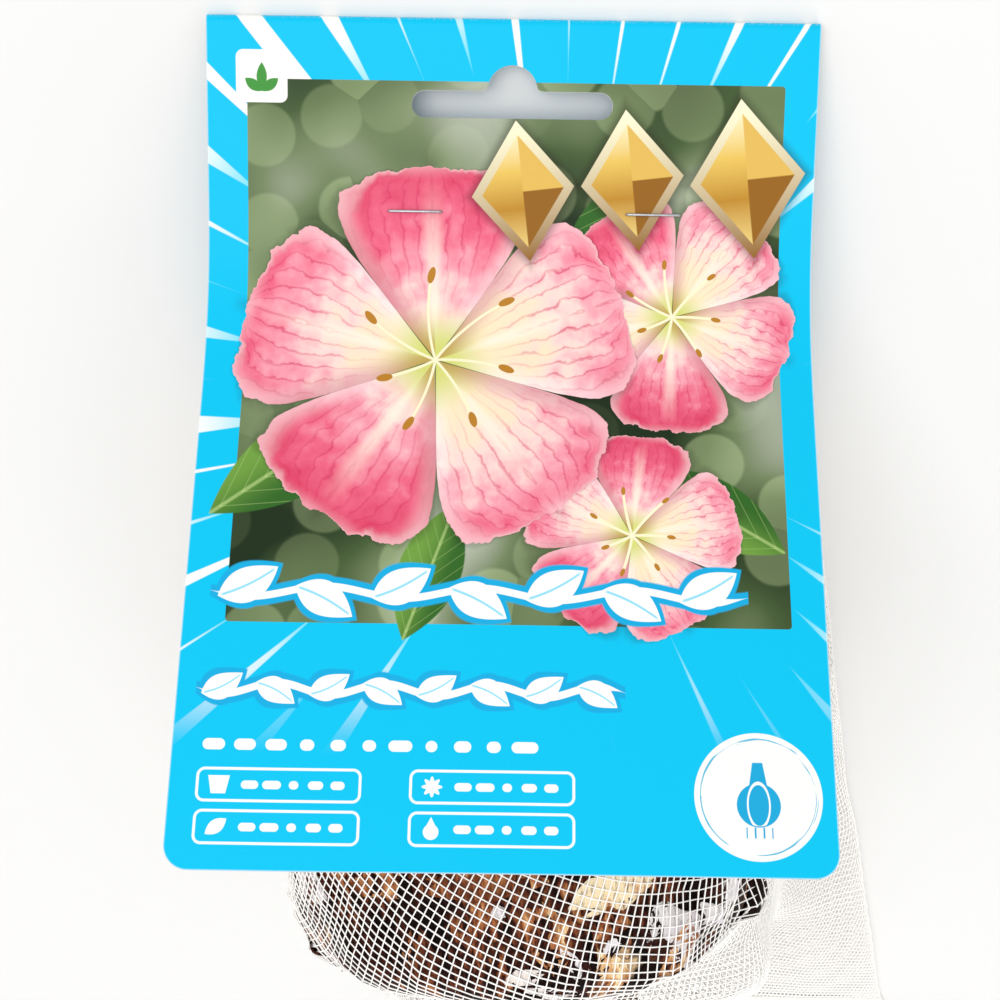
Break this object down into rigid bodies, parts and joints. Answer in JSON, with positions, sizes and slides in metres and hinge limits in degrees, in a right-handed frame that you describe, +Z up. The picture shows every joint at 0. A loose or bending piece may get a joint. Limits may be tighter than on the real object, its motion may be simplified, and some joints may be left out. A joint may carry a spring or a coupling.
{
  "type": "amaryllis bulb in a net bag with a header card",
  "caption": "Dormant amaryllis bulb lying in a white knitted net bag, closed by a folded and stapled cardboard header card with a hang slot.",
  "frame": {"origin": "middle of the pack's footprint, on the surface that it lies on", "axes": "+Z up; +Y from the bulb's base towards the fold of the card; +X across the card, to the right as its front is read"},
  "size_m": [0.136, 0.211, 0.0829],
  "materials": {
    "printed_card": "coated board with a satin cyan, pink and white print outside and bare white board inside",
    "net": "knitted net of thin white polyethylene threads",
    "staple_wire": "bright galvanised steel wire",
    "bulb_tunic": null
  },
  "bodies": {
    "root": {"header_card": "printed_card", "net_bag": "net", "staple_left": "staple_wire", "staple_right": "staple_wire", "bulb": "bulb_tunic"}
  },
  "joints": []
}
